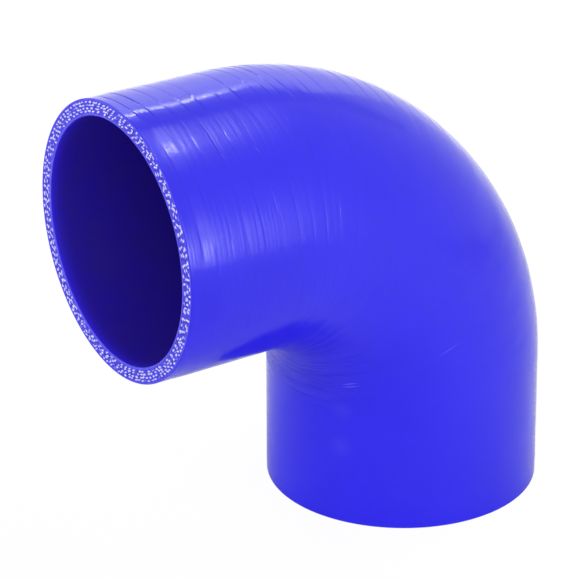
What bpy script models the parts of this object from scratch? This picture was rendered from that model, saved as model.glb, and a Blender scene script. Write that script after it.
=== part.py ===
# Silicone elbow hose: one moulded, fabric-reinforced coupling with a right-angle bend.
# Lengths are in metres, angles in degrees, +Z up. The hose stands on its lower cut end,
# bends in the XZ plane and opens towards -X. The origin is the middle of the bounding
# box at floor level.

import math

import bmesh
import bpy
from mathutils import Matrix, Vector

# Driving dimensions
BORE_DIAMETER = 0.076     # slides over a 76 mm (3 inch) pipe
WALL = 0.0054             # four fabric plies between a liner and a cover
LOWER_LEG = 0.040         # straight length from the lower cut end to the bend
UPPER_LEG = 0.040         # straight length from the bend to the upper cut end
BEND_RADIUS = 0.064       # of the centreline
BEND_ANGLE = 90.0
CUT_EDGE = 0.0004         # softening of the knife-cut rims

# Smoothness of the round surfaces
FACETS_AROUND = 72
BEND_STEPS = 24
EDGE_STEPS = 2
ROUNDED_ABOVE = 60.0      # only the rims' corners are sharper than this

# Finish of the silicone
BLUE = (0.024, 0.017, 0.80, 1.0)
ROUGHNESS = 0.28
SILICONE_IOR = 1.41

# Worked out from the driving dimensions
OUTER_RADIUS = BORE_DIAMETER / 2 + WALL
BEND = math.radians(BEND_ANGLE)
REACH = (
    BEND_RADIUS * (1 - math.cos(BEND))
    + UPPER_LEG * math.sin(BEND)
    + OUTER_RADIUS * math.cos(BEND)
)                         # from the lower leg's axis to the far side of the upper rim
LOWER_AXIS_X = (REACH - OUTER_RADIUS) / 2


def clear_scene():
    for obj in list(bpy.data.objects):
        bpy.data.objects.remove(obj, do_unlink=True)


def blue_silicone():
    material = bpy.data.materials.new("blue_silicone")
    material.use_nodes = True
    shader = material.node_tree.nodes["Principled BSDF"]
    shader.inputs["Base Color"].default_value = BLUE
    shader.inputs["Roughness"].default_value = ROUGHNESS
    shader.inputs["Metallic"].default_value = 0.0
    shader.inputs["IOR"].default_value = SILICONE_IOR
    material.diffuse_color = BLUE
    return material


def edges_of(geometry):
    return [item for item in geometry if isinstance(item, bmesh.types.BMEdge)]


def straight_leg(bm, ring, along):
    # draws a ring of edges out along a vector, and returns the ring at the far end
    drawn = bmesh.ops.extrude_edge_only(bm, edges=ring)["geom"]
    points = [item for item in drawn if isinstance(item, bmesh.types.BMVert)]
    bmesh.ops.translate(bm, verts=points, vec=along)
    return edges_of(drawn)


def swept_bend(bm, ring):
    # turns a ring of edges about the bend's own axis, and returns the ring at its end
    turned = bmesh.ops.spin(
        bm,
        geom=ring + list({point for edge in ring for point in edge.verts}),
        cent=Vector((LOWER_AXIS_X - BEND_RADIUS, 0.0, LOWER_LEG)),
        axis=Vector((0.0, 1.0, 0.0)),
        angle=-BEND,
        steps=BEND_STEPS,
    )
    return edges_of(turned["geom_last"])


def outer_skin():
    # the hose's outside as one open surface: lower leg, bend, upper leg
    bm = bmesh.new()
    bmesh.ops.create_circle(
        bm,
        cap_ends=False,
        segments=FACETS_AROUND,
        radius=OUTER_RADIUS,
        matrix=Matrix.Translation((LOWER_AXIS_X, 0.0, 0.0)),
    )
    ring = straight_leg(bm, list(bm.edges), Vector((0.0, 0.0, LOWER_LEG)))
    ring = swept_bend(bm, ring)
    onwards = Vector((-math.sin(BEND), 0.0, math.cos(BEND)))
    straight_leg(bm, ring, onwards * UPPER_LEG)
    bmesh.ops.recalc_face_normals(bm, faces=bm.faces)
    mesh = bpy.data.meshes.new("elbow_hose")
    bm.to_mesh(mesh)
    bm.free()
    mesh.shade_smooth()
    return mesh


def elbow_hose(collection):
    obj = bpy.data.objects.new("elbow_hose", outer_skin())
    collection.objects.link(obj)
    obj.data.materials.append(blue_silicone())

    wall = obj.modifiers.new("wall", "SOLIDIFY")
    wall.thickness = WALL
    wall.offset = -1.0    # the wall grows inwards, so the outside keeps its size
    wall.use_even_offset = True
    wall.use_rim = True

    rims = obj.modifiers.new("cut_edges", "BEVEL")
    rims.width = min(CUT_EDGE, WALL / 4)
    rims.segments = EDGE_STEPS
    rims.limit_method = "ANGLE"
    rims.angle_limit = math.radians(ROUNDED_ABOVE)
    rims.harden_normals = True
    return obj


def main():
    clear_scene()
    collection = bpy.data.collections.new("silicone_elbow_hose")
    bpy.context.scene.collection.children.link(collection)
    elbow_hose(collection)


main()
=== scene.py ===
import math
import random

import bpy
import numpy as np
from mathutils import Matrix, Vector, noise


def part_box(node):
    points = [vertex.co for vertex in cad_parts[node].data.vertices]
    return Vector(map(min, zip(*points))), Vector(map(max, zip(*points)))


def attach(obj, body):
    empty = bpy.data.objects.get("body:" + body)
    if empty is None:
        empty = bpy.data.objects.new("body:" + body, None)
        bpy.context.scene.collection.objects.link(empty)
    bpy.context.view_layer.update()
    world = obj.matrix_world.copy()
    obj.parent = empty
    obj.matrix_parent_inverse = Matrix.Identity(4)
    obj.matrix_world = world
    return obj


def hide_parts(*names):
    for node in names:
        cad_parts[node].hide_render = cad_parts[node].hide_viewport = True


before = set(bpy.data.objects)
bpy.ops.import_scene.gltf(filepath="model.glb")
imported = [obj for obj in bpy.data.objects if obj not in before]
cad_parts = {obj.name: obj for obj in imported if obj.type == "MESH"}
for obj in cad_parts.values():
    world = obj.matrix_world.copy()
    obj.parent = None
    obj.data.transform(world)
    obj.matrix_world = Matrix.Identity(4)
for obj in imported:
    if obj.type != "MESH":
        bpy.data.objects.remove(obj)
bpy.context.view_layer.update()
scene = bpy.context.scene


# small helpers

def linearColour(hexCode, alpha=1.0):
    # an sRGB hex colour as the linear values that a shader takes
    channels = [int(hexCode[i:i + 2], 16) / 255 for i in (1, 3, 5)]
    return [c / 12.92 if c <= 0.04045 else ((c + 0.055) / 1.055) ** 2.4 for c in channels] + [alpha]


def addNode(tree, kind, settings=None, links=None):
    # one node, with its properties or input values, and what feeds its inputs
    node = tree.nodes.new(kind)
    for name, value in (settings or {}).items():
        if isinstance(name, str) and hasattr(node, name):
            setattr(node, name, value)
        else:
            node.inputs[name].default_value = value
    for name, source in (links or {}).items():
        tree.links.new(source, node.inputs[name])
    return node


def newMaterial(name):
    material = bpy.data.materials.new(name)
    material.use_nodes = True
    tree = material.node_tree
    tree.nodes.clear()
    return material, tree


def smoothstep(low, high, x):
    t = np.clip((x - low) / (high - low), 0, 1)
    return t * t * (3 - 2 * t)


def meshPiece(name, points, faces, materials, attributes=None, faceMaterial=None):
    mesh = bpy.data.meshes.new(name)
    mesh.from_pydata(points.tolist(), [], faces.tolist())
    for material in materials:
        mesh.materials.append(material)
    if faceMaterial is not None:
        mesh.polygons.foreach_set("material_index", faceMaterial.astype(np.int32))
    for attributeName, values in (attributes or {}).items():
        layer = mesh.attributes.new(attributeName, "FLOAT", "POINT")
        layer.data.foreach_set("value", values.astype(np.float32))
    mesh.shade_smooth()
    mesh.update()
    piece = bpy.data.objects.new(name, mesh)
    scene.collection.objects.link(piece)
    return piece


# the hose's own measures, in metres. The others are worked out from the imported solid.

hose = {
    "bore": 0.076,            # inside diameter
    "bendRadius": 0.064,      # of the centreline
    "columns": 176,           # points round every ring of the mesh
    "boreRows": 40,           # rings of the mesh along the bore
    "rimEase": 0.00022,       # the knife leaves the rims nearly sharp
    "plyInner": 0.03872,      # the cloth plies lie between these radii
    "plyOuter": 0.04272,
    "plyDepth": 0.00030,      # how deep the ring of yarn ends is let into the cut
    "plyLip": 0.00004,        # width of the lip on either side of that ring
    "plyChip": 0.00001,       # how far the lip slopes in
}
low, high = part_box("elbow_hose")
outerRadius = (high.y - low.y) / 2
boreRadius = hose["bore"] / 2
axisX = high.x - outerRadius
upperZ = high.z - outerRadius
bendRadius = hose["bendRadius"]
bendCentre = np.array([axisX - bendRadius, 0.0, upperZ - bendRadius])
lowerLeg = bendCentre[2] - low.z
upperLeg = bendCentre[0] - low.x
bendLength = bendRadius * math.pi / 2
centreLength = lowerLeg + bendLength + upperLeg
arcRatio = 1 + outerRadius / bendRadius      # the outside of the bend is this much longer
outsideLength = lowerLeg + bendLength * arcRatio + upperLeg

# the nylon tape that the hose is wound in while it cures; it leaves its edges in the cover
wrap = {
    "firstEdge": 0.0039,      # from the upper mouth, along the outside of the bend
    "pitch": 0.00575,
    "closePitch": 0.0034,     # where the tape was lapped twice, at the start of the bend
    "closeFrom": 0.0415,
    "closeTo": 0.0590,
    "lean": 0.0011,           # the turns lean, so an edge is nearer the mouth on one side,
    "leanFrom": 35,           # degrees round the hose from where it stays in its place
    "waviness": 0.00045,
    "wavySize": 0.024,        # length of those waves
    "straightOver": 0.006,    # next to a cut the edges run straight
    "pillow": 0.000008,       # how far a turn bulges between its edges
    "groove": 0.000010,
    "step": 0.00013,          # the turns lap over each other, which leaves steps
    "sideStep": 0.000010,     # lower ones round the sides, where the tape slackens
    "pull": 2.0,              # how much duller the grooves are on the outside of the bend, and how much more painted shade they get there
    "pullTo": (22, 13),       # degrees from there where the pull begins and where it is full
    "fadeOver": 0.10,         # the lines fade towards the lower leg over this distance
    "fadeSize": 0.017,        # size of the places where they come and go
    "grooveShare": 0.045,     # half-width of a groove, as a share of the turn
    "level": 0.000036,        # height of a turn's edge, so that every turn leans its own way
    "starter": 0.000075,      # step where the winding starts, under the second turn
    "starterRises": [(0.0046, 0.0058), (0.0064, 0.0077)],      # it rises twice,
    "starterSinks": (0.0085, 0.030),                           # and sinks slowly after that
    "wander": 0.000024,       # unevenness that is each turn's own
    "ripple": 0.000030,       # short waves of the slack turns next to the mouth
    "slackOver": 0.011,       # distance over which they die away
    "sway": 0.00009,          # slow unevenness of a hand-laid wall
    "swaySize": 0.045,
    "evenOver": 0.0025,       # the relief dies away next to a cut
    "pucker": 0.00007,        # gathered cover on the inside of the bend
    "gatherPast": (0.011, 0.012),      # how far it runs on past the bend, below and above
    "gatherEase": 0.02,                # distance over which it builds up
}
rng = random.Random(41)


def toCentreline(outside):
    # distance from the upper mouth along the outside -> along the centreline from the lower end
    bendStart = upperLeg + bendLength * arcRatio
    onUpper = centreLength - outside
    onBend = centreLength - upperLeg - (outside - upperLeg) / arcRatio
    onLower = lowerLeg - (outside - bendStart)
    return np.where(outside < upperLeg, onUpper, np.where(outside < bendStart, onBend, onLower))


def place(along, around, radius):
    # a point of the hose: distance along the centreline, angle round it (0 outside of the
    # bend, growing towards -Y) and distance from it
    angle = np.clip((along - lowerLeg) / bendRadius, 0, math.pi / 2)
    out = np.stack([np.cos(angle), np.zeros_like(angle), np.sin(angle)], -1)
    ahead = np.stack([-np.sin(angle), np.zeros_like(angle), np.cos(angle)], -1)
    beyond = np.minimum(along - lowerLeg, 0) + np.maximum(along - lowerLeg - bendLength, 0)
    centre = bendCentre + out * bendRadius + ahead * beyond[..., None]
    normal = out * np.cos(around)[..., None] + np.array([0, -1.0, 0]) * np.sin(around)[..., None]
    return centre + normal * radius[..., None]


def softNoise(points, size, seed):
    # slow, smooth variation from -1 to 1 with bumps of about this size. The noise itself
    # seldom goes past 0.6, hence the factor.
    offset = Vector((seed * 17.3, seed * 5.1, seed * 9.7))
    flat = points.reshape(-1, 3) / size
    values = [noise.noise(Vector(p) + offset) for p in flat]
    return np.array(values).reshape(points.shape[:-1]) * 1.6


def tapeEdges():
    edges = [wrap["firstEdge"]]
    edges.append(edges[-1] + 0.78 * wrap["pitch"])
    while edges[-1] < outsideLength - 1.4 * wrap["pitch"]:
        close = wrap["closeFrom"] < edges[-1] < wrap["closeTo"]
        step = wrap["closePitch"] if close else wrap["pitch"]
        edges.append(edges[-1] + step * rng.uniform(0.93, 1.07))
    return edges


def outsideRows():
    # rows of the outer skin, from the upper mouth down: place, turn number and share of the turn
    edges = [hose["rimEase"]] + tapeEdges() + [outsideLength - hose["rimEase"]]
    shares = [0, 0.028, 0.07, 0.18, 0.38, 0.62, 0.82, 0.93, 0.972]
    # closer rows on the second turn, where the winding starts
    closeShares = [0, 0.028, 0.07, 0.14, 0.21, 0.28, 0.35, 0.42,
                   0.49, 0.56, 0.63, 0.7, 0.77, 0.85, 0.93, 0.972]
    places, turns, parts = [], [], []
    for turn, (start, end) in enumerate(zip(edges[:-1], edges[1:])):
        for share in closeShares if turn == 1 else shares:
            places.append(start + share * (end - start))
            turns.append(turn)
            parts.append(share)
    places.append(edges[-1])
    turns.append(len(edges) - 2)
    parts.append(1.0)
    return np.array(places), np.array(turns), np.array(parts)


def outerSkin(around):
    places, turns, parts = outsideRows()
    turnCount = int(turns.max()) + 1
    pillow = np.array([rng.uniform(0.45, 1.25) for _ in range(turnCount)])
    groove = np.array([rng.uniform(0.6, 1.3) for _ in range(turnCount + 1)])
    level = np.array([rng.uniform(-1.0, 1.0) for _ in range(turnCount + 1)])
    wander = np.array([rng.uniform(0.5, 1.3) for _ in range(turnCount)])
    wander[:3] = 1.6
    groove[0] = groove[-1] = 0.0

    flat = np.meshgrid(places, around, indexing="ij")
    outside, angle = flat[0], flat[1]
    ring = np.stack([outside, np.cos(angle) * outerRadius, np.sin(angle) * outerRadius], -1)
    squeezed = ring * np.array([2.2, 1, 1])
    toCut = np.minimum(outside, outsideLength - outside)
    tapered = smoothstep(0, wrap["straightOver"], toCut)
    shift = wrap["lean"] * np.sin(angle - math.radians(wrap["leanFrom"]))
    shift = shift + wrap["waviness"] * softNoise(squeezed, wrap["wavySize"], 1)
    moved = outside + shift * tapered
    along = toCentreline(moved)

    share = parts[:, None]
    fade = np.clip(0.75 + 0.5 * softNoise(ring, wrap["fadeSize"], 2), 0.2, 1.3)
    fade = fade * (0.2 + 0.8 * np.exp(-(outside / wrap["fadeOver"]) ** 2))
    nearStart = np.exp(-(share / wrap["grooveShare"]) ** 2)
    nearEnd = np.exp(-((1 - share) / wrap["grooveShare"]) ** 2)
    mark = (groove[turns][:, None] * nearStart + groove[turns + 1][:, None] * nearEnd) * fade
    relief = wrap["pillow"] * pillow[turns][:, None] * (1 - (2 * share - 1) ** 2)
    leaning = level[turns][:, None] * (1 - share) + level[turns + 1][:, None] * share
    relief = relief + wrap["level"] * leaning
    # these two start afresh on every turn of tape
    own = np.stack([turns[:, None] * 3.7 + 0 * angle, np.cos(angle) * 4.2, np.sin(angle) * 4.2], -1)
    relief = relief + wrap["wander"] * wander[turns][:, None] * softNoise(own, 1.0, 5)
    slack = np.exp(-outside / wrap["slackOver"])
    short = np.stack([turns[:, None] * 2.9 + 0 * angle, np.cos(angle) * 11, np.sin(angle) * 11], -1)
    relief = relief + wrap["ripple"] * (0.12 + slack) * softNoise(short, 1.0, 8)
    twoRises = sum(smoothstep(start, end, outside) for start, end in wrap["starterRises"])
    relief = relief + 0.5 * wrap["starter"] * twoRises * (1 - smoothstep(*wrap["starterSinks"], outside))
    # the tape is tightest over the outside of the bend, where its edges leave the dullest lines, with
    # the most painted shade in their colour
    pullFrom, pullFull = [math.cos(math.radians(a)) for a in wrap["pullTo"]]
    pulled = smoothstep(pullFrom, pullFull, np.cos(angle))
    lapped = groove[turns][:, None] * (1 - share) - groove[turns + 1][:, None] * share
    lapped = np.where((share == 0) | (share == 1), 0, lapped)
    # on the outside of the bend a turn stands above the one before it, elsewhere a little below
    relief = relief + 0.5 * lapped * fade * (wrap["step"] * pulled - wrap["sideStep"] * (1 - pulled))
    relief = relief - wrap["groove"] * mark
    mark = mark * (1 + wrap["pull"] * pulled)
    inside = smoothstep(0.45, 1.0, -np.cos(angle))
    ease, (pastLower, pastUpper) = wrap["gatherEase"], wrap["gatherPast"]
    begun = smoothstep(0.0, ease, along - lowerLeg + pastLower)
    ending = smoothstep(0.0, ease, centreLength - upperLeg + pastUpper - along)
    gather = inside * (begun * ending)
    relief = relief * (1 + 0.3 * gather)

    atRest = place(along, angle, np.full_like(along, outerRadius))
    relief = relief + wrap["sway"] * softNoise(atRest, wrap["swaySize"], 3)
    folds = np.stack([along * 260, np.cos(angle) * 1.3, np.sin(angle) * 1.3], -1)
    relief = relief + wrap["pucker"] * softNoise(folds, 1.0, 4) * gather
    relief = relief * smoothstep(0.0, wrap["evenOver"], toCut)
    skinRadius = outerRadius - relief.max()      # so that nothing stands outside the solid
    points = place(along, angle, skinRadius + relief)
    turnNumber = np.repeat((turns + parts)[:, None], len(around), 1)
    return points, along, {"tapeTurn": turnNumber, "tapeEdge": mark, "gather": gather}, skinRadius


def endRows(upper, skinRadius):
    # (distance in from the cut plane, radius, zone) from the outer skin to the bore
    ease = hose["rimEase"]
    bends = [math.radians(a) for a in (22.5, 45, 67.5, 90)]
    rows = [(ease * (1 - math.sin(a)), skinRadius - ease * (1 - math.cos(a)), 0) for a in bends]
    inner, outer, deep = hose["plyInner"], hose["plyOuter"], hose["plyDepth"]
    lip, chip = hose["plyLip"], hose["plyChip"]
    rows += [(0, skinRadius - 1.4 * ease, 1), (0, outer + lip, 1), (chip, outer, 1), (deep, outer, 1)]
    rows += [(deep, inner, 1), (chip, inner, 1), (0, inner - lip, 1), (0, boreRadius + 1.4 * ease, 1)]
    bends = [math.radians(a) for a in (0, 22.5, 45, 67.5, 90)]
    rows += [(ease * (1 - math.cos(a)), boreRadius + ease * (1 - math.sin(a)), 1) for a in bends]
    return rows if not upper else rows[::-1]


def buildHose(materials):
    around = np.linspace(0, 2 * math.pi, hose["columns"], endpoint=False)
    skin, along, prints, skinRadius = outerSkin(around)
    rings, alongs, zones = [skin], [along], [np.zeros(len(skin))]

    def addRows(distances, radii, rowZones):
        s = np.repeat(np.array(distances)[:, None], len(around), 1)
        r = np.repeat(np.array(radii)[:, None], len(around), 1)
        rings.append(place(s, np.repeat(around[None], len(distances), 0), r))
        alongs.append(s)
        zones.append(np.array(rowZones, float))

    addRows(*zip(*endRows(False, skinRadius)))
    ease = hose["rimEase"]
    inside = np.linspace(ease, centreLength - ease, hose["boreRows"])[1:-1]
    addRows(inside, np.full(len(inside), boreRadius), np.full(len(inside), 2))
    depths, radii, endZones = zip(*endRows(True, skinRadius))
    addRows(centreLength - np.array(depths), radii, endZones)

    points = np.concatenate(rings)
    rows, columns = points.shape[:2]
    index = np.arange(rows * columns).reshape(rows, columns)
    nextRow, nextColumn = np.roll(index, -1, 0), np.roll(index, -1, 1)
    corner = np.roll(nextRow, -1, 1)
    faces = np.stack([index, nextColumn, corner, nextRow], -1).reshape(-1, 4)
    zone = np.concatenate(zones)
    following = np.roll(zone, -1)
    rowZone = np.where((zone == 2) | (following == 2), 2, np.maximum(zone, following))
    rowZone = np.where((zone == 0) & (following == 0), 0, rowZone)
    attributes = {"alongMm": np.concatenate(alongs).ravel() * 1000}
    for printName, values in prints.items():
        attributes[printName] = np.zeros(rows * columns)
        attributes[printName][:values.size] = values.ravel()
    piece = meshPiece("elbow_hose_moulding", points.reshape(-1, 3), faces, materials, attributes,
                      np.repeat(rowZone, columns))
    piece.data.set_sharp_from_angle(angle=math.radians(40))
    return piece


# the ends of the four cloth plies, as they show on a cut end

plies = {
    "rows": [0.04200, 0.04106, 0.04012, 0.03928],      # radii of the four plies
    "bundlePitch": [0.0021, 0.0022, 0.0023, 0.0028],   # the innermost ply shows fewer ends
    "bundleLength": 0.0018,
    "bundleWidth": 0.00051,
    "slant": 34,              # degrees, the ends slant most between two level places,
    "slantNone": 155,         # of which this is one
    "unrest": 46,             # degrees more, to either side in turn,
    "unrestAt": 65,           # round the place where the cut crosses the weave
    "crossed": 0.35,          # share of yarns cut at a crossing, which show a second end
    "dim": 0.1,               # share of ends that are sunk in silicone
    "hollows": 0.75,          # share of ends with a hollow beside them, sunk and with painted shade in it
    "hollowSteps": [0.00042, 0.00045, 0.0],            # how much nearer the bore it may lie
    "columns": 1280,
    "radialSteps": 24,
    "proud": 0.00007,         # yarn springs out of the cut a little
    "sunk": 0.00010,          # silicone between the yarns is dragged in by the knife
    "clearance": 0.00001,     # the proudest yarn just reaches the end of the hose
}


def bundleEnds(seed):
    # every yarn end as (angle, radius, length, width, tilt, tone)
    draw = random.Random(seed)
    ends = []
    for row, (radius, pitch) in enumerate(zip(plies["rows"], plies["bundlePitch"])):
        count = round(2 * math.pi * radius / pitch)
        for number in range(count):
            angle = (number + 0.5 * (row % 2) + draw.uniform(-0.28, 0.28)) * 2 * math.pi / count
            fromLevel = angle - math.radians(plies["slantNone"])
            tilt = math.radians(plies["slant"]) * math.sin(2 * fromLevel)
            unrest = math.cos(angle - math.radians(plies["unrestAt"])) ** 2
            side = 1 if (number + row) % 2 else -1
            tilt += side * math.radians(plies["unrest"]) * unrest + math.radians(draw.uniform(-7, 7))
            length = plies["bundleLength"] * draw.uniform(0.75, 1.15) * (1 - 0.25 * unrest)
            width = plies["bundleWidth"] * draw.uniform(0.75, 1.2) * (1 + 0.25 * unrest)
            bright = draw.random() > plies["dim"]
            tone = draw.uniform(0.85, 1.0) if bright else draw.uniform(0.15, 0.5)
            shift = draw.uniform(-0.00012, 0.00012) * (1 + 1.5 * unrest)
            ends.append((angle, radius + shift, length, width, tilt, tone))
            if draw.random() < plies["crossed"]:
                crossed = tilt - side * math.radians(draw.uniform(40, 75))
                beside = angle + 0.3 * length / radius
                ends.append((beside, radius, length * 0.55, width * 0.8, crossed, tone))
    return ends


def stamp(field, angles, radii, spot):
    # adds one lens-shaped spot to a field over angle and radius, keeping the larger value
    angle, radius, length, width, tilt, tone = spot
    reach = (length + width) / radius
    turn = (angles - angle + math.pi) % (2 * math.pi) - math.pi
    near = np.nonzero(np.abs(turn) < reach)[0]
    x = turn[near][:, None] * radius
    y = (radii - radius)[None]
    across = -x * math.sin(tilt) + y * math.cos(tilt)
    lengthwise = x * math.cos(tilt) + y * math.sin(tilt)
    taper = np.clip(1 - (2 * lengthwise / length) ** 2, 0, 1)
    lens = taper - (2 * across / width) ** 2
    field[near] = np.maximum(field[near], smoothstep(0.0, 0.55, lens) * tone)


def buildPlyRing(name, upper, seed, material):
    count, steps = plies["columns"], plies["radialSteps"]
    angles = np.linspace(0, 2 * math.pi, count, endpoint=False)
    radii = np.linspace(hose["plyInner"], hose["plyOuter"], steps)
    yarn = np.zeros((count, steps))
    hollowAndShade = np.zeros((count, steps))
    draw = random.Random(seed + 1)
    for spot in bundleEnds(seed):
        stamp(yarn, angles, radii, spot)
        angle, radius, length, width, tilt, tone = spot
        if draw.random() < plies["hollows"]:
            halfPitch = 0.5 * plies["bundlePitch"][0] / radius
            hollowRadius = radius - draw.choice(plies["hollowSteps"])
            beside = angle + halfPitch * draw.uniform(0.7, 1.2)
            stamp(hollowAndShade, angles, radii, (beside, hollowRadius, length * 0.8, width * 0.75, tilt, 1.0))
    hollowAndShade = hollowAndShade * (1 - yarn)
    edge = np.minimum(np.arange(steps), steps - 1 - np.arange(steps))[None]
    lift = plies["proud"] * np.sqrt(yarn) * np.clip(edge / 2, 0, 1)
    lift = lift - plies["sunk"] * hollowAndShade * np.clip(edge / 2, 0, 1)
    level = plies["proud"] + plies["clearance"]
    depth = np.clip(level - lift, plies["clearance"] / 2, hose["plyDepth"])
    depth[:, [0, -1]] = plies["clearance"] * 2
    base = np.full((count, 1), hose["plyDepth"])
    depth = np.concatenate([base, depth, base], 1)
    radial = np.concatenate([radii[:1], radii, radii[-1:]])
    pad = np.zeros((count, 1))
    yarn = np.concatenate([pad, yarn, pad], 1)
    hollowAndShade = np.concatenate([pad, hollowAndShade, pad], 1)
    along = centreLength - depth if upper else depth
    around = np.repeat(angles[:, None], depth.shape[1], 1)
    points = place(along, around, np.repeat(radial[None], count, 0))
    index = np.arange(points.shape[0] * points.shape[1]).reshape(points.shape[:2])
    a, b = index, np.roll(index, -1, 0)
    c, d = np.roll(b, -1, 1), np.roll(index, -1, 1)
    order = [a, b, c, d] if upper else [a, d, c, b]
    faces = np.stack(order, -1).reshape(-1, 4)
    return meshPiece(
        name, points.reshape(-1, 3), faces, [material],
        {"yarn": yarn.ravel(), "hollowAndShade": hollowAndShade.ravel()},
    )


# materials, with the sizes of their patterns in millimetres

siliconeIor = 1.41

cover = {
    "colour": "#2B23E7",
    "shade": "#271FE0",       # where the cover is a little thicker
    "blotch": 28,             # size of that slow change
    # painted shade in the tape's grooves, and the share of it below
    "groove": "#1E17B4",
    "paintedGrooveShade": 0.16,
    "grooveDull": 0.03,       # added roughness in a groove
    "roughness": 0.11,
    "turnHaze": 0.03,         # each turn of tape leaves a gloss of its own
    "haze": 3.846,            # patches of a finer haze,
    "hazeRange": (-0.03, 0.04),
    "drag": 1.1,              # fine lines that the tape's weave prints round the hose,
    "dragLength": 22.22,      # and how long they run
    "dragHeight": 0.000046,
    "grain": 1.111,           # coarser than the real grain, so that it shows
    "grainShare": 0.15,
    "pleat": 1.15,            # gathers on the inside of the bend
    "pleatHeight": 0.00042,
    # paler colour of the rubs, and of the two painted highlights
    "rubAndHighlight": "#8A84F4",
    "scuffDull": 0.3,         # added roughness where the cover is rubbed, and at the painted highlights
    "scuffDepth": 0.002,
}
# places where something has rubbed the cover, and two painted highlights: metres along the centreline,
# degrees round it.
# The last two are broad and faint: they are painted highlights, soft reflections on the lower leg.
rubsAndHighlights = [
    {"along": 0.0652, "around": 101, "length": 0.0090, "width": 0.00056, "lean": 6, "strength": 0.30},
    {"along": 0.0609, "around": 145, "length": 0.0066, "width": 0.00056, "lean": 8, "strength": 0.45},
    {"along": 0.0585, "around": 145, "length": 0.0070, "width": 0.00056, "lean": 6, "strength": 0.45},
    {"along": 0.1603, "around": 41, "length": 0.0030, "width": 0.00056, "lean": 18, "strength": 0.22},
    {"along": 0.1489, "around": 42, "length": 0.0034, "width": 0.00056, "lean": 18, "strength": 0.22},
    {"along": 0.0385, "around": 150, "length": 0.0095, "width": 0.0075, "lean": 0, "strength": 0.055},
    {"along": 0.0262, "around": 151, "length": 0.0100, "width": 0.0095, "lean": 0, "strength": 0.070},
]


def rubAndHighlightMask(tree, where):
    # strongest in the middle of every rub and painted highlight, and 0 away from them
    total = None
    for rubAndHighlight in rubsAndHighlights:
        along, around = np.array([rubAndHighlight["along"]]), np.array([math.radians(rubAndHighlight["around"])])
        middle = Vector(place(along, around, np.array([outerRadius]))[0])
        further = Vector(place(along, around + 0.01, np.array([outerRadius]))[0])
        outwards = (middle - Vector(place(along, around, np.array([boreRadius]))[0])).normalized()
        lean = Matrix.Rotation(math.radians(rubAndHighlight["lean"]), 3, outwards)
        turned = lean @ (further - middle).normalized()
        axes = Matrix((turned, outwards.cross(turned), outwards)).transposed()
        halfSize = (rubAndHighlight["length"] / 2, rubAndHighlight["width"] / 2, cover["scuffDepth"])
        local = addNode(tree, "ShaderNodeMapping",
                        {"vector_type": "TEXTURE", "Location": middle,
                         "Rotation": axes.to_euler(), "Scale": halfSize},
                        {"Vector": where.outputs["Object"]})
        spot = addNode(tree, "ShaderNodeTexGradient", {"gradient_type": "SPHERICAL"},
                       {"Vector": local.outputs[0]})
        share = addNode(tree, "ShaderNodeMath",
                        {"operation": "MULTIPLY_ADD", 1: rubAndHighlight["strength"], 2: 0.0},
                        {0: spot.outputs["Fac"]})
        if total:
            tree.links.new(total.outputs[0], share.inputs[2])
        total = share
    return total


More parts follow.
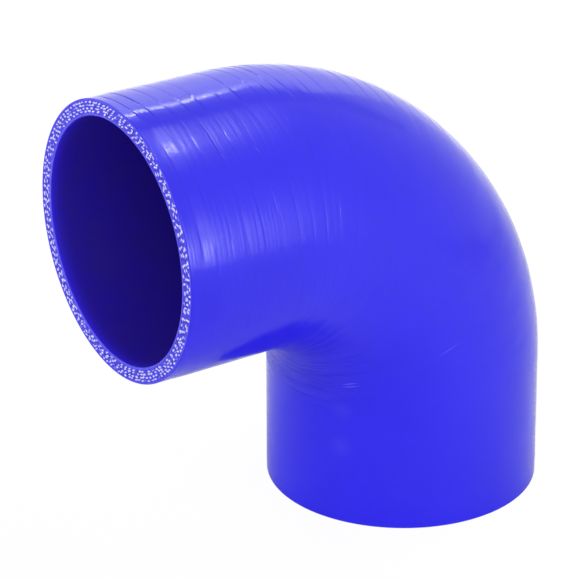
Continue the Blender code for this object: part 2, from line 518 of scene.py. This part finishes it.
def clothWrappedSilicone():
    # Silicone rubber, cured under a tight winding of nylon tape. The tape leaves it glossy,
    # with fine lines that run round the hose, and a gloss that changes from turn to turn.
    material, tree = newMaterial("clothWrappedSilicone")
    where = addNode(tree, "ShaderNodeTexCoord")
    turn = addNode(tree, "ShaderNodeAttribute", {"attribute_name": "tapeTurn"})
    along = addNode(tree, "ShaderNodeAttribute", {"attribute_name": "alongMm"})

    wholeTurn = addNode(tree, "ShaderNodeMath", {"operation": "FLOOR"}, {0: turn.outputs["Fac"]})
    turnDraw = addNode(tree, "ShaderNodeTexWhiteNoise", {"noise_dimensions": "1D"},
                       {"W": wholeTurn.outputs[0]})
    blotches = addNode(tree, "ShaderNodeTexNoise",
                       {"Scale": 1000 / cover["blotch"], "Detail": 3.0},
                       {"Vector": where.outputs["Object"]})
    shadeAmount = addNode(tree, "ShaderNodeMapRange", {"From Min": 0.3, "From Max": 0.75},
                          {"Value": blotches.outputs["Fac"]})
    plain = addNode(tree, "ShaderNodeMix",
                    {"data_type": "RGBA", 6: linearColour(cover["colour"]),
                     7: linearColour(cover["shade"])},
                    {0: shadeAmount.outputs[0]})
    # the tape's edges leave narrow dull grooves, with painted shade in their colour
    edge = addNode(tree, "ShaderNodeAttribute", {"attribute_name": "tapeEdge"})
    grooveShadeShare = addNode(tree, "ShaderNodeMath",
                      {"operation": "MULTIPLY", 1: cover["paintedGrooveShade"], "use_clamp": True},
                      {0: edge.outputs["Fac"]})
    grooveShaded = addNode(tree, "ShaderNodeMix",
                      {"data_type": "RGBA", 7: linearColour(cover["groove"])},
                      {0: grooveShadeShare.outputs[0], 6: plain.outputs[2]})
    # the rubs, and two painted highlights, mixed in as a paler colour
    rubAndHighlightShare = rubAndHighlightMask(tree, where)
    colour = addNode(tree, "ShaderNodeMix",
                     {"data_type": "RGBA", 7: linearColour(cover["rubAndHighlight"])},
                     {0: rubAndHighlightShare.outputs[0], 6: grooveShaded.outputs[2]})

    # lines of the tape's weave, far finer along the hose than round it
    spread = addNode(tree, "ShaderNodeSeparateXYZ", links={0: where.outputs["Object"]})
    sideways = addNode(tree, "ShaderNodeMath",
                       {"operation": "MULTIPLY", 1: 1000 / cover["dragLength"]},
                       {0: spread.outputs[1]})

    def runningLines(spacing, detail):
        scaled = addNode(tree, "ShaderNodeMath", {"operation": "MULTIPLY", 1: 1 / spacing},
                         {0: along.outputs["Fac"]})
        spot = addNode(tree, "ShaderNodeCombineXYZ",
                       links={0: scaled.outputs[0], 1: sideways.outputs[0]})
        return addNode(tree, "ShaderNodeTexNoise", {"Scale": 1.0, "Detail": detail},
                       {"Vector": spot.outputs[0]})

    lines = runningLines(cover["drag"], 2.0)
    pleats = runningLines(cover["pleat"], 1.0)

    # roughness: fine haze, a different haze on each turn of tape, and duller grooves and scuffs
    haze = addNode(tree, "ShaderNodeTexNoise", {"Scale": 1000 / cover["haze"], "Detail": 4.0},
                   {"Vector": where.outputs["Object"]})
    least, most = cover["hazeRange"]
    hazeAmount = addNode(tree, "ShaderNodeMapRange", {"To Min": least, "To Max": most},
                         {"Value": haze.outputs["Fac"]})
    turnHaze = addNode(tree, "ShaderNodeMath",
                       {"operation": "MULTIPLY_ADD", 1: cover["turnHaze"], 2: cover["roughness"]},
                       {0: turnDraw.outputs["Value"]})
    hazes = addNode(tree, "ShaderNodeMath", {"operation": "ADD"},
                    {0: hazeAmount.outputs[0], 1: turnHaze.outputs[0]})
    dulled = addNode(tree, "ShaderNodeMath",
                     {"operation": "MULTIPLY_ADD", 1: cover["grooveDull"]},
                     {0: edge.outputs["Fac"], 2: hazes.outputs[0]})
    roughness = addNode(tree, "ShaderNodeMath",
                        {"operation": "MULTIPLY_ADD", 1: cover["scuffDull"]},
                        {0: rubAndHighlightShare.outputs[0], 2: dulled.outputs[0]})

    # bump: the lines and a fine grain everywhere, and pleats where the cover is gathered
    grain = addNode(tree, "ShaderNodeTexNoise", {"Scale": 1000 / cover["grain"], "Detail": 1.0},
                    {"Vector": where.outputs["Object"]})
    height = addNode(tree, "ShaderNodeMath",
                     {"operation": "MULTIPLY_ADD", 1: cover["grainShare"]},
                     {0: grain.outputs["Fac"], 2: lines.outputs["Fac"]})
    bump = addNode(tree, "ShaderNodeBump", {"Strength": 1.0, "Distance": cover["dragHeight"]},
                   {"Height": height.outputs[0]})
    gathered = addNode(tree, "ShaderNodeAttribute", {"attribute_name": "gather"})
    pleatHeight = addNode(tree, "ShaderNodeMath", {"operation": "MULTIPLY"},
                          {0: gathered.outputs["Fac"], 1: pleats.outputs["Fac"]})
    folded = addNode(tree, "ShaderNodeBump", {"Strength": 1.0, "Distance": cover["pleatHeight"]},
                     {"Height": pleatHeight.outputs[0], "Normal": bump.outputs[0]})

    shader = addNode(tree, "ShaderNodeBsdfPrincipled", {"IOR": siliconeIor},
                     {"Base Color": colour.outputs[2], "Roughness": roughness.outputs[0],
                      "Normal": folded.outputs[0]})
    addNode(tree, "ShaderNodeOutputMaterial", links={"Surface": shader.outputs[0]})
    return material


cutFace = {
    "colour": "#4B44EA",
    "torn": "#635CF6",        # specks that the knife tore are paler
    "speck": 1.111,           # size of the specks
    "speckHeight": 0.00004,
    "patch": 8.33,            # size of the patches that have more of them
    "range": (0.15, 0.4),
    "roughness": 0.55,
}


def knifeCutSilicone():
    # The same silicone, sliced across after curing. The knife leaves it matt and paler, with
    # a few torn specks.
    material, tree = newMaterial("knifeCutSilicone")
    where = addNode(tree, "ShaderNodeTexCoord")
    specks = addNode(tree, "ShaderNodeTexNoise", {"Scale": 1000 / cutFace["speck"], "Detail": 3.0},
                     {"Vector": where.outputs["Object"]})
    patch = addNode(tree, "ShaderNodeTexNoise", {"Scale": 1000 / cutFace["patch"]},
                    {"Vector": where.outputs["Object"]})
    amount = addNode(tree, "ShaderNodeMath", {"operation": "MULTIPLY"},
                     {0: specks.outputs["Fac"], 1: patch.outputs["Fac"]})
    few, many = cutFace["range"]
    torn = addNode(tree, "ShaderNodeMapRange", {"From Min": few, "From Max": many},
                   {"Value": amount.outputs[0]})
    colour = addNode(tree, "ShaderNodeMix",
                     {"data_type": "RGBA", 6: linearColour(cutFace["colour"]),
                      7: linearColour(cutFace["torn"])},
                     {0: torn.outputs[0]})
    bump = addNode(tree, "ShaderNodeBump", {"Strength": 1.0, "Distance": cutFace["speckHeight"]},
                   {"Height": specks.outputs["Fac"]})
    shader = addNode(tree, "ShaderNodeBsdfPrincipled",
                     {"IOR": siliconeIor, "Roughness": cutFace["roughness"]},
                     {"Base Color": colour.outputs[2], "Normal": bump.outputs[0]})
    addNode(tree, "ShaderNodeOutputMaterial", links={"Surface": shader.outputs[0]})
    return material


liner = {
    # darker than the cover's colour: painted shade for the dim bore
    "colour": "#2B18A8",
    "shade": "#2E1C9D",
    "cloud": 9.09,            # size of the marks that the mandrel's oil leaves
    "cloudRange": (0.35, 0.65),
    "cloudHeight": 0.00003,
    "roughness": (0.34, 0.46),
    "lit": "#3B28FF",         # next to a cut, where light soaks through the wall,
    "soak": 0.58,             # and the share of it that is left after each millimetre
}


def mandrelFormedSilicone():
    # The liner, cured against an oiled steel mandrel, which leaves it satin and faintly clouded.
    # It is coloured darker than the cover, which is painted shade for the dim bore.
    material, tree = newMaterial("mandrelFormedSilicone")
    where = addNode(tree, "ShaderNodeTexCoord")
    cloud = addNode(tree, "ShaderNodeTexNoise", {"Scale": 1000 / liner["cloud"], "Detail": 4.0},
                    {"Vector": where.outputs["Object"]})
    thin, thick = liner["cloudRange"]
    amount = addNode(tree, "ShaderNodeMapRange", {"From Min": thin, "From Max": thick},
                     {"Value": cloud.outputs["Fac"]})
    colour = addNode(tree, "ShaderNodeMix",
                     {"data_type": "RGBA", 6: linearColour(liner["colour"]),
                      7: linearColour(liner["shade"])},
                     {0: amount.outputs[0]})
    # millimetres from the nearer cut, for the light that soaks in there
    along = addNode(tree, "ShaderNodeAttribute", {"attribute_name": "alongMm"})
    halfLength = centreLength * 1000 / 2
    fromMiddle = addNode(tree, "ShaderNodeMath", {"operation": "SUBTRACT", 1: halfLength},
                         {0: along.outputs["Fac"]})
    eitherWay = addNode(tree, "ShaderNodeMath", {"operation": "ABSOLUTE"},
                        {0: fromMiddle.outputs[0]})
    toCut = addNode(tree, "ShaderNodeMath", {"operation": "SUBTRACT", 0: halfLength},
                    {1: eitherWay.outputs[0]})
    soaked = addNode(tree, "ShaderNodeMath", {"operation": "POWER", 0: liner["soak"]},
                     {1: toCut.outputs[0]})
    lit = addNode(tree, "ShaderNodeMix", {"data_type": "RGBA", 7: linearColour(liner["lit"])},
                  {0: soaked.outputs[0], 6: colour.outputs[2]})
    smoothest, dullest = liner["roughness"]
    roughness = addNode(tree, "ShaderNodeMapRange", {"To Min": smoothest, "To Max": dullest},
                        {"Value": cloud.outputs["Fac"]})
    bump = addNode(tree, "ShaderNodeBump", {"Strength": 1.0, "Distance": liner["cloudHeight"]},
                   {"Height": cloud.outputs["Fac"]})
    shader = addNode(tree, "ShaderNodeBsdfPrincipled", {"IOR": siliconeIor},
                     {"Base Color": lit.outputs[2], "Roughness": roughness.outputs[0],
                      "Normal": bump.outputs[0]})
    addNode(tree, "ShaderNodeOutputMaterial", links={"Surface": shader.outputs[0]})
    return material


yarnEnds = {
    "yarn": "#E9E8FB",
    "silicone": "#433BE2",    # between the bundles
    # painted shade in the hollows beside the yarn ends
    "hollowAndShade": "#1C149E",
    "fray": 0.3125,           # coarser than the real fibres, so that it shows
    "frayRange": (0.75, 1.1),
    "frayHeight": 0.00003,
    "roughness": 0.7,
    "ior": 1.45,
}


def siliconeWettedYarn():
    # Cut ends of white polyester yarn in silicone. The fibres are matt and nearly white, tinted
    # by the rubber, and the silicone between the bundles is painted a deep blue in the hollows, as
    # painted shade.
    material, tree = newMaterial("siliconeWettedYarn")
    where = addNode(tree, "ShaderNodeTexCoord")
    yarn = addNode(tree, "ShaderNodeAttribute", {"attribute_name": "yarn"})
    hollowAndShade = addNode(tree, "ShaderNodeAttribute", {"attribute_name": "hollowAndShade"})
    fibres = addNode(tree, "ShaderNodeTexNoise", {"Scale": 1000 / yarnEnds["fray"], "Detail": 2.0},
                     {"Vector": where.outputs["Object"]})
    # painted shade: the silicone darkens in the hollows
    deep = addNode(tree, "ShaderNodeMix",
                   {"data_type": "RGBA", 6: linearColour(yarnEnds["silicone"]),
                    7: linearColour(yarnEnds["hollowAndShade"])},
                   {0: hollowAndShade.outputs["Fac"]})
    thin, thick = yarnEnds["frayRange"]
    frayed = addNode(tree, "ShaderNodeMapRange",
                     {"From Min": 0.25, "From Max": 0.75, "To Min": thin, "To Max": thick},
                     {"Value": fibres.outputs["Fac"]})
    amount = addNode(tree, "ShaderNodeMath", {"operation": "MULTIPLY", "use_clamp": True},
                     {0: yarn.outputs["Fac"], 1: frayed.outputs[0]})
    colour = addNode(tree, "ShaderNodeMix",
                     {"data_type": "RGBA", 7: linearColour(yarnEnds["yarn"])},
                     {0: amount.outputs[0], 6: deep.outputs[2]})
    bump = addNode(tree, "ShaderNodeBump", {"Strength": 1.0, "Distance": yarnEnds["frayHeight"]},
                   {"Height": fibres.outputs["Fac"]})
    shader = addNode(tree, "ShaderNodeBsdfPrincipled",
                     {"Roughness": yarnEnds["roughness"], "IOR": yarnEnds["ior"]},
                     {"Base Color": colour.outputs[2], "Normal": bump.outputs[0]})
    addNode(tree, "ShaderNodeOutputMaterial", links={"Surface": shader.outputs[0]})
    return material


# camera at the photograph's viewing angle

view = {
    "azimuth": -33.17,
    "elevation": 24.92,
    "roll": -0.2135,
    "distance": 0.9868,
    "aim": (-0.0106, 0.00235, 0.0714),
    "lens": 198.65,
}


def makeCamera():
    data = bpy.data.cameras.new("camera")
    data.lens = view["lens"]
    data.sensor_width = 36.0
    camera = bpy.data.objects.new("camera", data)
    turn = (Matrix.Rotation(math.radians(view["azimuth"]), 4, "Z")
            @ Matrix.Rotation(math.radians(90 - view["elevation"]), 4, "X"))
    back = turn @ Vector((0, 0, view["distance"]))
    camera.matrix_world = (Matrix.Translation(Vector(view["aim"]) + back) @ turn
                           @ Matrix.Rotation(math.radians(view["roll"]), 4, "Z"))
    scene.collection.objects.link(camera)
    scene.camera = camera


# studio: white surroundings, a paper floor and diffuser panels

room = {
    "left": 1.62,                         # its light on matt surfaces, where 1 is white:
    "right": 0.34,                        # a window side on the left, and less from the right
    "awayFromWindow": (0.93, 0.36, 0.30),
    "change": (-0.65, 0.15),              # the light changes between these shares of that way
}


def makeWorld():
    world = bpy.data.worlds.new("studio")
    world.use_nodes = True
    tree = world.node_tree
    tree.nodes.clear()
    path = addNode(tree, "ShaderNodeLightPath")
    seen = addNode(tree, "ShaderNodeMath", {"operation": "MAXIMUM"},
                   {0: path.outputs["Is Camera Ray"], 1: path.outputs["Is Glossy Ray"]})
    seenToo = addNode(tree, "ShaderNodeMath", {"operation": "MAXIMUM"},
                      {0: seen.outputs[0], 1: path.outputs["Is Transmission Ray"]})
    where = addNode(tree, "ShaderNodeTexCoord")
    away = addNode(tree, "ShaderNodeVectorMath",
                   {"operation": "DOT_PRODUCT", 1: room["awayFromWindow"]},
                   {0: where.outputs["Generated"]})
    nearest, furthest = room["change"]
    matt = addNode(tree, "ShaderNodeMapRange",
                   {"From Min": nearest, "From Max": furthest,
                    "To Min": room["left"], "To Max": room["right"]},
                   {"Value": away.outputs["Value"]})
    strength = addNode(tree, "ShaderNodeMapRange", {"To Max": 1.0},
                       {"Value": seenToo.outputs[0], "To Min": matt.outputs[0]})
    background = addNode(tree, "ShaderNodeBackground", {"Color": (1, 1, 1, 1)},
                         {"Strength": strength.outputs[0]})
    addNode(tree, "ShaderNodeOutputWorld", links={"Surface": background.outputs[0]})
    scene.world = world


def flatPiece(name, corners, material):
    mesh = bpy.data.meshes.new(name)
    mesh.from_pydata(corners, [], [(0, 1, 2, 3)])
    mesh.materials.append(material)
    piece = bpy.data.objects.new(name, mesh)
    scene.collection.objects.link(piece)
    return piece


paper = {
    "front": -0.53,           # its front edge shows in the hose's gloss
    "back": 1.5,
    "side": 1.3,
    "below": 0.0002,          # keeps it clear of the cut end that stands on it
    "colour": "#F0F0EE",
    "paintedShadowLeft": "#B4B4B2",     # painted shadow: darker there in the hose's gloss, for the shade under the upper leg
    "leftFrom": 0.08,         # X where that begins, and where it is full
    "leftTo": -0.20,
    "backLight": 0.45,        # extra light on the paper behind the hose, which bleaches it
    "backFrom": 0.10,         # Y where that begins, and where it is full
    "backTo": 0.45,
    "bleached": 1.03,         # as the camera sees it, just past white,
    "whiteness": 0.93,        # and how much of what it sees is that
}


def paperSweep():
    # Matt white background paper. The camera sees it bleached nearly to white, as in a product
    # photo, and the shadow on it stays.
    material, tree = newMaterial("paperSweep")
    path = addNode(tree, "ShaderNodeLightPath")
    where = addNode(tree, "ShaderNodeTexCoord")
    split = addNode(tree, "ShaderNodeSeparateXYZ", links={0: where.outputs["Object"]})
    toRight = addNode(tree, "ShaderNodeMapRange",
                      {"From Min": paper["leftTo"], "From Max": paper["leftFrom"]},
                      {"Value": split.outputs[0]})
    # painted shadow, darker towards the left; the light that it throws back on matt surfaces doesn't
    # dull with it
    lighter = addNode(tree, "ShaderNodeMath", {"operation": "MAXIMUM"},
                      {0: toRight.outputs[0], 1: path.outputs["Is Diffuse Ray"]})
    shade = addNode(tree, "ShaderNodeMix",
                    {"data_type": "RGBA", 6: linearColour(paper["paintedShadowLeft"]),
                     7: linearColour(paper["colour"])},
                    {0: lighter.outputs[0]})
    matt = addNode(tree, "ShaderNodeBsdfDiffuse", links={"Color": shade.outputs[2]})
    behind = addNode(tree, "ShaderNodeMapRange",
                     {"From Min": paper["backFrom"], "From Max": paper["backTo"],
                      "To Max": paper["backLight"]},
                     {"Value": split.outputs[1]})
    backLit = addNode(tree, "ShaderNodeEmission", {"Color": (1, 1, 1, 1)},
                      {"Strength": behind.outputs[0]})
    sheet = addNode(tree, "ShaderNodeAddShader", links={0: matt.outputs[0], 1: backLit.outputs[0]})
    glow = addNode(tree, "ShaderNodeEmission",
                   {"Color": (1, 1, 1, 1), "Strength": paper["bleached"]})
    share = addNode(tree, "ShaderNodeMath", {"operation": "MULTIPLY", 1: paper["whiteness"]},
                    {0: path.outputs["Is Camera Ray"]})
    mixed = addNode(tree, "ShaderNodeMixShader",
                    links={0: share.outputs[0], 1: sheet.outputs[0], 2: glow.outputs[0]})
    addNode(tree, "ShaderNodeOutputMaterial", links={"Surface": mixed.outputs[0]})
    return material


def makeFloor():
    side, front, back, height = paper["side"], paper["front"], paper["back"], -paper["below"]
    corners = [(-side, front, height), (side, front, height),
               (side, back, height), (-side, back, height)]
    flatPiece("paper_floor", corners, paperSweep())


# Each panel is given by its middle and two half-sides. Its radiance is base at the rim, plus a
# brighter core that ends at edge and a glow that fades out beyond it. Places on it are shares
# of its side, and peak is the height where it is brightest.
panels = {
    # in front, past the paper's edge: the broad band along the side of the upper leg,
    # and a tube that lights its bright end
    "front_diffuser": {"centre": (0.33, -0.65, 0.37), "across": (0.19, 0, 0), "upwards": (0, 0, 0.37),
                       "base": 1.05, "glow": 1.05, "core": 2.2, "edge": 0.394, "soft": 0.404,
                       "peak": 0.30},
    "front_tube": {"centre": (0.175, -0.64, 0.16), "across": (0.028, 0, 0), "upwards": (0, 0, 0.125),
                   "base": 1.0, "core": 11.0, "edge": 2.0},
    # overhead: its far edge is the crisp top of the highlight, and its tube the hot patch
    "top_diffuser": {"centre": (0.29, -0.03, 0.70), "across": (0.16, 0, 0), "upwards": (0, 0.235, 0),
                     "base": 1.0, "glow": 1.1, "core": 3.0, "edge": 0.381, "soft": 0.426,
                     "peak": 0.60},
    "top_tube": {"centre": (0.180, -0.045, 0.69), "across": (0.017, 0, 0), "upwards": (0, 0.075, 0),
                 "base": 0.0, "core": 26.0, "edge": 2.0},
    # thin strip further back: the bright line along the upper leg, and its dimmer end
    "back_strip": {"centre": (0.15, 0.556, 0.70), "across": (0.275, 0, 0), "upwards": (0, 0.014, 0),
                   "base": 24.0},
    "back_strip_end": {"centre": (0.515, 0.65, 0.70), "across": (0.055, 0, 0),
                       "upwards": (0, 0.03, 0), "base": 3.5},
    # gap in the ceiling between them
    "ceiling_gap": {"centre": (0.6, 0.32, 0.72), "across": (0.9, 0, 0), "upwards": (0, 0.10, 0),
                    "base": 0.75},
    # wide panel behind on the right: the pale edge round the outside of the bend
    "back_diffuser": {"centre": (0.62, 0.85, 0.50), "across": (0.35, -0.25, 0),
                      "upwards": (0, 0, 0.45), "base": 1.14, "core": 0.70, "edge": 2.0,
                      "peak": 0.81},
}
panelFall = {"reach": 0.55, "left": 0.12}      # how far from its peak a panel dims, and to what


def diffuserPanel(name, centre, across, upwards, base, glow=0.0, core=0.0, edge=0.9, soft=0.15,
                  peak=0.5):
    material, tree = newMaterial(name)
    where = addNode(tree, "ShaderNodeTexCoord")
    split = addNode(tree, "ShaderNodeSeparateXYZ", links={0: where.outputs["UV"]})
    wide = addNode(tree, "ShaderNodeMapRange",
                   {"interpolation_type": "SMOOTHSTEP", "From Min": edge - soft, "From Max": 1.0,
                    "To Min": glow, "To Max": 0.0},
                   {"Value": split.outputs[0]})
    hot = addNode(tree, "ShaderNodeMapRange",
                  {"interpolation_type": "SMOOTHSTEP", "From Min": edge - 0.05,
                   "From Max": edge + 0.05, "To Min": core, "To Max": 0.0},
                  {"Value": split.outputs[0]})
    both = addNode(tree, "ShaderNodeMath", {"operation": "ADD"},
                   {0: wide.outputs[0], 1: hot.outputs[0]})
    away = addNode(tree, "ShaderNodeMath", {"operation": "SUBTRACT", 1: peak},
                   {0: split.outputs[1]})
    distance = addNode(tree, "ShaderNodeMath", {"operation": "ABSOLUTE"}, {0: away.outputs[0]})
    fall = addNode(tree, "ShaderNodeMapRange",
                   {"interpolation_type": "SMOOTHSTEP", "From Min": 0.0,
                    "From Max": panelFall["reach"], "To Min": 1.0, "To Max": panelFall["left"]},
                   {"Value": distance.outputs[0]})
    strength = addNode(tree, "ShaderNodeMath", {"operation": "MULTIPLY_ADD", 2: base},
                       {0: both.outputs[0], 1: fall.outputs[0]})
    glowing = addNode(tree, "ShaderNodeEmission", {"Color": (1, 1, 1, 1)},
                      {"Strength": strength.outputs[0]})
    addNode(tree, "ShaderNodeOutputMaterial", links={"Surface": glowing.outputs[0]})

    centre, across, upwards = Vector(centre), Vector(across), Vector(upwards)
    corners = [centre - across - upwards, centre + across - upwards,
               centre + across + upwards, centre - across + upwards]
    panel = flatPiece(name, corners, material)
    layer = panel.data.uv_layers.new(name="share")
    for loop, uv in zip(layer.data, [(0, 0), (1, 0), (1, 1), (0, 1)]):
        loop.uv = uv
    panel.visible_camera = False


makeCamera()
makeWorld()
makeFloor()
for name, panel in panels.items():
    diffuserPanel(name, **panel)
print("camera and studio ready")

skinMaterials = [clothWrappedSilicone(), knifeCutSilicone(), mandrelFormedSilicone()]
moulding = buildHose(skinMaterials)
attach(moulding, "root")
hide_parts("elbow_hose")
print("hose moulded,", len(moulding.data.polygons), "faces")

yarnMaterial = siliconeWettedYarn()
for name, upper, seed in (("ply_ends_upper", True, 7), ("ply_ends_lower", False, 19)):
    plyRing = buildPlyRing(name, upper, seed, yarnMaterial)
    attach(plyRing, "root")
print("ply ends laid in")

scene.view_settings.view_transform = "Standard"
